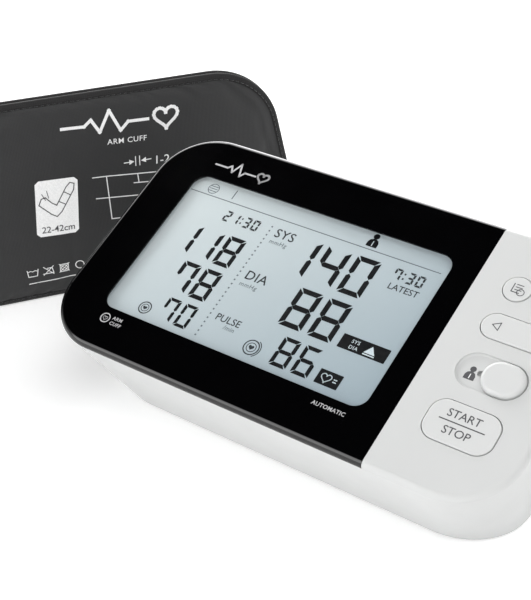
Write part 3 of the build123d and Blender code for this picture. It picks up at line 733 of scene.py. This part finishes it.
def right_edge(z, edge):
    """How far right the leaf reaches at height z."""
    best = fold_t
    for a, b in zip(edge, edge[1:]):
        low, high = min(a.y, b.y), max(a.y, b.y)
        if low - 1e-6 <= z <= high + 1e-6 and high - low > 1e-6:
            share = (z - a.y) / (b.y - a.y)
            best = max(best, a.x + (b.x - a.x) * share)
    return best


def leaf_grid(inset, columns, rows):
    """Points of a leaf in rows of equal height steps, closer together near its long edges."""
    edge = free_edge(inset)
    low, high = edge[0].y, edge[-1].y
    grid = []
    for j in range(rows + 1):
        share = 0.5 - 0.5 * cos(pi * j / rows)
        z = low + (high - low) * (0.35 * j / rows + 0.65 * share)
        z = min(max(z, low + 1e-4), high - 1e-4)
        reach = right_edge(z, edge)
        grid.append([(fold_t + (reach - fold_t) * i / columns, z) for i in range(columns + 1)])
    return grid


def simulate_cloth(obj, frames, pressure, shrink, cap):
    """Puffs a pinned sheet with a short cloth simulation, and moves no point further than cap."""
    rest = [v.co.copy() for v in obj.data.vertices]
    modifier = obj.modifiers.new("cloth", "CLOTH")
    settings = modifier.settings
    settings.quality = 6
    settings.mass = 0.3
    settings.tension_stiffness = 20
    settings.compression_stiffness = 20
    settings.shear_stiffness = 8
    settings.bending_stiffness = 1.2
    settings.use_pressure = True
    settings.uniform_pressure_force = pressure
    settings.shrink_min = shrink
    settings.vertex_group_mass = "pinned"
    settings.effector_weights.gravity = 0
    modifier.point_cache.frame_start = 1
    modifier.point_cache.frame_end = frames
    scene = bpy.context.scene
    for step_number in range(1, frames + 1):
        scene.frame_set(step_number)
    evaluated = obj.evaluated_get(bpy.context.evaluated_depsgraph_get())
    moved = [v.co.copy() for v in evaluated.data.vertices]
    obj.modifiers.remove(modifier)
    scene.frame_set(1)
    for vertex, start, end in zip(obj.data.vertices, rest, moved):
        step = end - start
        vertex.co = start + step * min(1.0, cap / max(step.length, 1e-9))


def leaf_cover(name, material, body, face_w, outward, nodes, puff, columns=110, rows=44):
    """One fabric face of a leaf: pinned along its seam, crowned, then puffed by cloth simulation."""
    grid = leaf_grid(tape * 0.55, columns, rows)
    points = []
    for j, row in enumerate(grid):
        v = j / rows
        for i, (t, z) in enumerate(row):
            u = i / columns
            crown = (1 - (2 * v - 1) ** 4) * (1 - max(0.0, 2 * u - 1) ** 6)
            points.append(cuff @ Vector((t, z, face_w + outward * (puff * crown - face_sink))))
    width = columns + 1
    faces = []
    for j in range(rows):
        for i in range(columns):
            a = j * width + i
            faces.append((a, a + 1, a + width + 1, a + width))
    if outward < 0:
        faces = [face[::-1] for face in faces]
    obj = new_object(name, points, faces, material)
    pinned = obj.vertex_groups.new(name="pinned")
    rim = [
        j * width + i
        for j in range(rows + 1)
        for i in range(width)
        if j < 2 or j > rows - 2 or i == 0 or i > columns - 3
    ]
    pinned.add(rim, 1.0, "REPLACE")
    simulate_cloth(obj, cloth_frames, cloth_pressure, cloth_shrink, cloth_reach * MM)
    solid = obj.modifiers.new("thickness", "SOLIDIFY")
    solid.thickness = face_thickness * MM
    solid.offset = -1
    apply_modifiers(obj)
    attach(obj, body)
    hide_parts(*nodes)
    return obj


def apply_modifiers(obj):
    """Bakes an object's modifiers into its mesh."""
    evaluated = obj.evaluated_get(bpy.context.evaluated_depsgraph_get())
    mesh = bpy.data.meshes.new_from_object(evaluated)
    obj.modifiers.clear()
    obj.data = mesh


def tape_profile():
    """Section of the folded edge tape: (inset from the edge, w), front leg first."""
    thick = 0.35
    mid_w = -leaf_depth / 2
    radius = leaf_depth / 2 + 0.12
    points = [(tape, 0.02), (tape - 0.1, thick * 0.6), (tape * 0.72, thick * 0.85)]
    points.append((radius + 0.2, thick * 0.5))
    for i in range(7):
        a = pi / 2 + pi * i / 6
        points.append((radius + radius * cos(a), mid_w + radius * sin(a)))
    points += [(d, 2 * mid_w - w) for d, w in reversed(points[:4])]
    return points


def edge_tape(name, body, face_w, node):
    """Edge tape folded over a leaf's long edges and its free end, with puckers between the stitches."""
    edge = free_edge(0)
    profile = tape_profile()
    vertices, faces = [], []
    for k, point in enumerate(edge):
        along = (edge[min(k + 1, len(edge) - 1)] - edge[max(k - 1, 0)]).normalized()
        inward = Vector((-along.y, along.x))
        pucker = 0.07 * sin(k * 2.2) + 0.04 * sin(k * 0.83)
        for d, w in profile:
            at = point + inward * d
            lift = pucker if w > -leaf_depth / 2 else -pucker
            vertices.append(cuff @ Vector((at.x, max(at.y, 0.0), face_w + w + lift * (1 if d > 0.8 else 0))))
    count = len(profile)
    for k in range(len(edge) - 1):
        for i in range(count - 1):
            a = k * count + i
            faces.append((a, a + count, a + count + 1, a + 1))
    faces.append(tuple(range(count)))
    faces.append(tuple(reversed(range((len(edge) - 1) * count, len(edge) * count))))
    obj = new_object(name, vertices, faces, materials["cuff_binding"])
    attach(obj, body)
    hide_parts(node)
    return obj


def stitch_line(name, body, face_w, outward, insets, length=1.7, pitch=2.5, radius=0.17):
    """Rows of stitches along a leaf's edge, each a short thread that dips at both ends."""
    vertices, faces = [], []
    for inset in insets:
        edge = free_edge(inset)
        travelled, due = 0.0, 1.0
        for a, b in zip(edge, edge[1:]):
            span = (b - a).length
            while due <= travelled + span:
                middle = a.lerp(b, (due - travelled) / span)
                along = (b - a).normalized()
                add_stitch(vertices, faces, middle, along, length, radius, face_w, outward)
                due += pitch
            travelled += span
    obj = new_object(name, vertices, faces, thread)
    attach(obj, body)
    return obj


def add_stitch(vertices, faces, middle, along, length, radius, face_w, outward):
    sides, rings = 6, 5
    start = len(vertices)
    across = Vector((-along.y, along.x))
    for k in range(rings):
        share = k / (rings - 1)
        swell = 0.35 + 0.65 * sin(pi * share)
        centre = middle + along * (share - 0.5) * length
        height = outward * (0.12 + 0.16 * sin(pi * share))
        for i in range(sides):
            a = 2 * pi * i / sides
            at = centre + across * cos(a) * radius * swell
            vertices.append(cuff @ Vector((at.x, at.y, face_w + height + sin(a) * radius * swell * 0.8)))
    for k in range(rings - 1):
        for i in range(sides):
            a, b = start + k * sides + i, start + k * sides + (i + 1) % sides
            faces.append((a, b, b + sides, a + sides))
    faces.append(tuple(start + i for i in reversed(range(sides))))
    faces.append(tuple(start + (rings - 1) * sides + i for i in range(sides)))


def fold_strip():
    """Fabric round the fold, between the two leaves' covers."""
    half = leaf_depth + leaf_gap / 2
    inner = half - 0.9
    rows, turns = 30, 16
    vertices, faces = [], []
    for j in range(rows + 1):
        z = 0.4 + (cuff_height - 0.8) * j / rows
        ripple = 0.12 * sin(j * 0.9) + 0.08 * sin(j * 2.3)
        for radius in (half + 0.25 + ripple, inner):
            for i in range(turns + 1):
                a = pi / 2 + pi * i / turns
                along = fold_t + radius * cos(a) * 0.9 + 0.4
                vertices.append(cuff @ Vector((along, z, -half + radius * sin(a))))
    ring = 2 * (turns + 1)
    for j in range(rows):
        for i in range(turns):
            a = j * ring + i
            faces.append((a, a + 1, a + ring + 1, a + ring))
            b = j * ring + turns + 1 + i
            faces.append((b + 1, b, b + ring, b + ring + 1))
        for i in (0, turns):
            a = j * ring + i
            quad = (a, a + ring, a + ring + turns + 1, a + turns + 1)
            faces.append(quad if i == 0 else quad[::-1])
    for j in (0, rows):
        for i in range(turns):
            a = j * ring + i
            quad = (a, a + turns + 1, a + turns + 2, a + 1)
            faces.append(quad if j == 0 else quad[::-1])
    obj = new_object("cuff_fold_fabric", vertices, faces, materials["cuff_fabric"])
    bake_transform(obj)


def drape_on(cover):
    """Returns a function that lays a printed mesh on a puffed cover."""
    mesh = cover.data
    corners = [v.co.copy() for v in mesh.vertices]
    tree = BVHTree.FromPolygons(corners, [tuple(p.vertices) for p in mesh.polygons])
    into = (cuff.to_3x3() @ Vector((0, 0, -1))).normalized()

    def drape(obj):
        work = bmesh.new()
        work.from_mesh(obj.data)
        bmesh.ops.triangulate(work, faces=work.faces[:])
        for _ in range(4):
            long_edges = [e for e in work.edges if e.calc_length() > 1.8 * MM]
            if not long_edges:
                break
            bmesh.ops.subdivide_edges(work, edges=long_edges, cuts=1)
            bmesh.ops.triangulate(work, faces=work.faces[:])
        inverse = cuff.inverted()
        for vertex in work.verts:
            lift = (inverse @ vertex.co).z
            hit = tree.ray_cast(vertex.co - into * 0.02, into)[0]
            if hit:
                vertex.co = hit - into * lift * MM
        work.to_mesh(obj.data)
        work.free()

    return drape


def cuff_prints(cover):
    """White printing on the front leaf: pulse mark, fitting diagram, size label and care marks."""
    drape = drape_on(cover)
    lift = 0.09
    lean = radians(-2.5)
    white = Sheet(cuff, lift, 0.05)
    trace = [(33.5, 79.5), (43.0, 79.1), (46.0, 81.6), (49.5, 75.6), (54.0, 84.6), (58.5, 75.0), (62.0, 78.5),
             (70.5, 78.2)]
    white.line(trace, 1.35)
    white.line(heart_outline(78.5, 78.2, 10.5), 1.35, closed=True)
    white.text("ARM CUFF", 61.0, 69.0, 2.5, align="CENTER", spacing=1.1, weight=0.01, turn=lean)
    white.text("1-2cm", 72.2, 56.9, 4.0, spacing=1.0, turn=lean)
    for tip, back in ((63.6, 59.2), (66.6, 71.0)):
        way = 1 if tip > back else -1
        white.line([(back, 59.6), (tip - way * 1.6, 59.6)], 0.42)
        white.add([(tip, 59.6), (tip - way * 2.2, 60.8), (tip - way * 2.2, 58.4)])
    for t in (64.2, 66.0):
        white.line([(t, 57.6), (t, 61.8)], 0.35)
    white.line([(45.0, 55.2), (51.0, 54.9), (78.0, 52.6)], 0.42)
    white.line([(51.0, 54.9), (52.2, 34.2), (78.0, 32.4)], 0.42)
    white.line([(46.0, 45.1), (78.0, 42.2)], 0.42)
    white.line([(64.8, 53.6), (65.2, 49.4)], 0.42)
    white.line([(63.0, 49.6), (69.6, 49.0)], 0.42)
    for i, t in enumerate((15.5, 22.5, 29.5, 36.5)):
        care_mark(white, i, t, 14.5)
    white.box(29.5, 9.4, 32.0, 0.4)
    white.build("cuff_white_print", ink_white, "cuff_front", drape)
    label = Sheet(cuff, lift, 0.05)
    label.add(*label_grid(28.7, 44.3, 18.4, 26.4, lean))
    label.build("cuff_size_label", ink_label, "cuff_front", drape)
    drawing = Sheet(cuff, lift + 0.07, 0.05)
    arm = [(21.0, 46.6), (26.0, 41.6), (28.4, 40.0), (30.6, 42.0), (36.4, 51.4), (36.8, 54.2), (35.0, 55.0),
           (33.2, 53.2), (28.6, 45.4), (26.6, 46.8), (24.0, 49.8), (22.2, 49.4), (21.0, 46.6)]
    drawing.line(arm, 0.42)
    drawing.line([(29.6, 47.0), (32.4, 45.2)], 0.38)
    drawing.line([(32.0, 51.2), (34.8, 49.2)], 0.38)
    drawing.line([(22.6, 51.6), (24.0, 48.6)], 0.3)
    drawing.line([(24.8, 52.8), (25.4, 49.4)], 0.3)
    drawing.text("22-42cm", 28.5, 32.8, 3.1, align="CENTER", spacing=0.98, weight=0.015, turn=lean)
    drawing.build("cuff_label_drawing", ink_key, "cuff_front", drape)


def label_grid(t, z, width, height, lean, columns=12, rows=18):
    """A rounded rectangle as a grid, so that it can follow the fabric."""
    points, faces = [], []
    radius = 1.6
    for j in range(rows + 1):
        y = (j / rows - 0.5) * height
        spare = max(0.0, abs(y) - (height / 2 - radius))
        half = width / 2 - radius + (radius ** 2 - min(spare, radius) ** 2) ** 0.5
        for i in range(columns + 1):
            x = (2 * i / columns - 1) * half
            points.append((t + x * cos(lean) - y * sin(lean), z + x * sin(lean) + y * cos(lean)))
            if i and j:
                a = j * (columns + 1) + i
                faces.append((a - columns - 2, a - columns - 1, a, a - 1))
    return points, faces


def care_mark(sheet, kind, t, z):
    """Generic textile care signs: wash tub, no iron, no tumble dryer, hand."""
    if kind == 0:
        sheet.line([(t - 2.4, z + 1.6), (t - 1.9, z - 1.6), (t + 1.9, z - 1.6), (t + 2.4, z + 1.6)], 0.36)
        water = [(t - 2.2, z + 0.8), (t - 1.0, z + 1.2), (t, z + 0.8), (t + 1.0, z + 1.2), (t + 2.2, z + 0.8)]
        sheet.line(water, 0.3)
    elif kind == 1:
        sheet.line([(t - 2.4, z - 1.4), (t + 2.2, z - 1.4), (t + 1.6, z + 1.2), (t - 0.6, z + 1.2)], 0.36)
    elif kind == 2:
        sheet.line(rounded_rectangle(t, z, 3.6, 3.6, 0), 0.36, closed=True)
        sheet.ring(t, z, 1.25, 0.36)
    else:
        sheet.ring(t, z, 1.8, 0.36)
    if kind in (1, 2):
        sheet.line([(t - 2.2, z - 2.0), (t + 2.2, z + 2.0)], 0.3)
        sheet.line([(t - 2.2, z + 2.0), (t + 2.2, z - 2.0)], 0.3)


rear_w = -(leaf_depth + leaf_gap)
front_cover = leaf_cover(
    "cuff_front_fabric", materials["cuff_fabric"], "cuff_front", 0.0, 1,
    ["cuff_front_cover", "cuff_front_stiffener", "cuff_front_bladder"], crown_height,
)
leaf_cover("cuff_front_inner_fabric", materials["cuff_lining"], "cuff_front", -leaf_depth, -1,
           ["cuff_front_lining"], 0.0)
leaf_cover("cuff_rear_fabric", materials["cuff_fabric"], "cuff_rear", rear_w - leaf_depth, -1,
           ["cuff_rear_cover", "cuff_rear_stiffener", "cuff_rear_bladder"], crown_height)
leaf_cover("cuff_rear_inner_fabric", materials["cuff_lining"], "cuff_rear", rear_w, 1,
           ["cuff_rear_lining"], 0.0)
edge_tape("cuff_front_tape", "cuff_front", 0.0, "cuff_front_binding")
edge_tape("cuff_rear_tape", "cuff_rear", rear_w, "cuff_rear_binding")
stitch_line("cuff_front_stitches", "cuff_front", 0.3, 1, (2.2,))
stitch_line("cuff_rear_stitches", "cuff_rear", rear_w - leaf_depth - 0.3, -1, (2.2,))
fold_strip()
cuff_prints(front_cover)


# ---------------------------------------------------------------- stage
# Each patch: direction, cosine at full strength, cosine at none, strength. The first is the even sky,
# dark only where the panel mirrors it; then a box behind on the left, and a low box in front.
sky_patches = (
    ((-0.4957, 0.018, 0.8684), 0.60, 0.88, 0.80),
    ((-0.72, 0.60, 0.35), 0.96, 0.78, 6.4),
    ((-0.5257, -0.799, 0.292), 0.955, 0.90, 3.2),
)
floor_glow = 0.28
floor_half = 6.0
camera_place = (0.2710, -0.3764, 0.3134)
camera_azimuth = 35.7
camera_elevation = 31.84
camera_lens = 81.06


def build_stage():
    """A large white floor under a white studio sky that is dark where the panel mirrors it."""
    size = floor_half
    paper = ink("floor_paper", (0.93, 0.93, 0.93), 0.9)
    paper_shader = paper.node_tree.nodes["Principled BSDF"]
    paper_shader.inputs["Emission Color"].default_value = (1.0, 1.0, 1.0, 1.0)
    paper_shader.inputs["Emission Strength"].default_value = floor_glow
    floor = new_object(
        "floor",
        [(-size, -size, 0), (size, -size, 0), (size, size, 0), (-size, size, 0)],
        [(0, 1, 2, 3)],
        paper,
        smooth=False,
    )
    world = bpy.data.worlds.new("studio")
    bpy.context.scene.world = world
    world.use_nodes = True
    tree = world.node_tree
    place = tree.nodes.new("ShaderNodeTexCoord").outputs["Generated"]
    total = None
    for direction, inner, outer, strength in sky_patches:
        patch = sky_patch(tree, place, direction, inner, outer, strength)
        if total is None:
            total = patch
            continue
        add = tree.nodes.new("ShaderNodeMath")
        add.operation = "ADD"
        tree.links.new(total, add.inputs[0])
        tree.links.new(patch, add.inputs[1])
        total = add.outputs["Value"]
    background = tree.nodes["Background"]
    background.inputs["Color"].default_value = (1.0, 1.0, 1.0, 1.0)
    tree.links.new(total, background.inputs["Strength"])


def sky_patch(tree, place, direction, inner, outer, strength):
    """Brightness that rises smoothly from outer to inner, both cosines of the angle from direction."""
    toward = tree.nodes.new("ShaderNodeVectorMath")
    toward.operation = "DOT_PRODUCT"
    toward.inputs[1].default_value = direction
    tree.links.new(place, toward.inputs[0])
    level = tree.nodes.new("ShaderNodeMapRange")
    level.interpolation_type = "SMOOTHSTEP"
    level.inputs["From Min"].default_value = outer
    level.inputs["From Max"].default_value = inner
    level.inputs["To Min"].default_value = 0.0
    level.inputs["To Max"].default_value = strength
    tree.links.new(toward.outputs["Value"], level.inputs["Value"])
    return level.outputs["Result"]


def soft_light(name, place, target, size, power):
    light = bpy.data.lights.new(name, "AREA")
    light.shape = "RECTANGLE"
    light.size, light.size_y = size
    light.energy = power
    obj = bpy.data.objects.new(name, light)
    bpy.context.scene.collection.objects.link(obj)
    obj.location = place
    obj.rotation_euler = (Vector(target) - Vector(place)).to_track_quat("-Z", "Y").to_euler()


def build_camera():
    """Seen from the front right, above, through a long lens."""
    camera = bpy.data.cameras.new("camera")
    camera.lens = camera_lens
    camera.sensor_width = 36.0
    obj = bpy.data.objects.new("camera", camera)
    bpy.context.scene.collection.objects.link(obj)
    azimuth, elevation = radians(camera_azimuth), radians(camera_elevation)
    look = Vector((-sin(azimuth) * cos(elevation), cos(azimuth) * cos(elevation), -sin(elevation)))
    obj.location = camera_place
    obj.rotation_euler = look.to_track_quat("-Z", "Y").to_euler()
    camera.clip_start = 0.01
    bpy.context.scene.camera = obj


build_camera()
build_stage()
soft_light("top_box", (0.55, -0.30, 1.25), (0, 0, 0.03), (1.1, 0.9), 8)
bpy.context.scene.view_settings.view_transform = "Standard"
